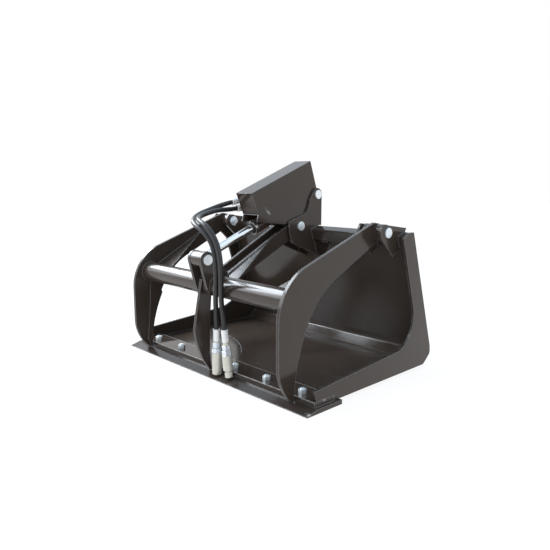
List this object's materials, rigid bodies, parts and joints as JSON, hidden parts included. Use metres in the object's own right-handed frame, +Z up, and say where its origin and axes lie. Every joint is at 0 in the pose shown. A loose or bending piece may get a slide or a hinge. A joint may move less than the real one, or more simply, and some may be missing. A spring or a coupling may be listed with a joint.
{
  "type": "grapple bucket",
  "caption": "Bucket with a hydraulic grapple: curved clamp arms on a cross tube close on the cutting edge, driven by a guarded cylinder.",
  "frame": {"origin": "on the ground, in the middle of the cutting edge's front line", "axes": "+X to the right seen from the front, along the width; +Y from the cutting edge to the rear; +Z up"},
  "size_m": [1.118, 0.8955, 0.8422],
  "materials": {
    "black_paint": "gloss black powder coat over welded plate",
    "zinc_plate": "bright zinc plating",
    "chromed_rod": "hard chrome, polished",
    "fitting_steel": "plated steel fittings",
    "bushing_steel": "turned steel, greased",
    "hose_rubber": "smooth black hose cover"
  },
  "bodies": {
    "bucket": {"attach_plate": "black_paint", "attach_ribs": "black_paint", "base_edge": "black_paint", "base_pin": "zinc_plate", "coupler_1": "fitting_steel", "coupler_2": "fitting_steel", "coupler_ferrule_1": "fitting_steel", "coupler_ferrule_2": "fitting_steel", "cutting_edge": "black_paint", "floor_shell": "black_paint", "hex_nuts": "zinc_plate", "hose_1": "hose_rubber", "hose_2": "hose_rubber", "inner_ear_left": "black_paint", "inner_ear_right": "black_paint", "mast_plate_left": "black_paint", "mast_plate_right": "black_paint", "outer_ear_left": "black_paint", "outer_ear_right": "black_paint", "pin_washers": "zinc_plate", "pivot_pin_centre": "zinc_plate", "pivot_pin_left": "zinc_plate", "pivot_pin_right": "zinc_plate", "plow_bolts": "zinc_plate", "roll_pins": "zinc_plate", "side_plate_left": "black_paint", "side_plate_right": "black_paint", "top_tube": "black_paint", "wear_strips": "black_paint"},
    "grapple": {"arm_left": "black_paint", "arm_right": "black_paint", "bushing_centre": "bushing_steel", "bushing_left": "black_paint", "bushing_right": "black_paint", "centre_plate_left": "black_paint", "centre_plate_right": "black_paint", "centre_tine": "black_paint", "cross_tube": "black_paint", "doubler_left": "black_paint", "doubler_right": "black_paint", "gusset_centre": "black_paint", "gusset_left": "black_paint", "gusset_right": "black_paint", "rod_pin": "zinc_plate", "rod_pin_washer": "zinc_plate", "rod_roll_pin": "zinc_plate"},
    "cylinder": {"barrel": "black_paint", "base_elbow": "fitting_steel", "base_line": "fitting_steel", "eye_spacers": "zinc_plate", "gland": "fitting_steel", "hood": "black_paint", "hose_ferrule_1": "fitting_steel", "hose_ferrule_2": "fitting_steel", "rod_elbow": "fitting_steel", "rod_line": "fitting_steel"},
    "rod": {"rod_shaft": "chromed_rod", "rod_eye": "black_paint", "piston": "fitting_steel"}
  },
  "joints": [
    {"name": "grapple_hinge", "type": "hinge", "parent": "bucket", "child": "grapple", "pos_m": [0, 0.486, 0.566], "axis": [-1, 0, 0], "range_deg": [0, 55]},
    {"name": "cylinder_swing", "type": "hinge", "parent": "bucket", "child": "cylinder", "pos_m": [0, 0.592, 0.699], "axis": [-1, 0, 0], "range_deg": [0, 45], "deforming": ["hose_1", "hose_2"]},
    {"name": "rod_slide", "type": "slide", "parent": "cylinder", "child": "rod", "axis": [0, 0.9289, 0.3703], "range_m": [0, 0.119]}
  ],
  "couplings": [
    {"joint": "cylinder_swing", "follows": "grapple_hinge", "ratio": 0.8126},
    {"joint": "rod_slide", "follows": "grapple_hinge", "m_per_rad": 0.12333}
  ]
}
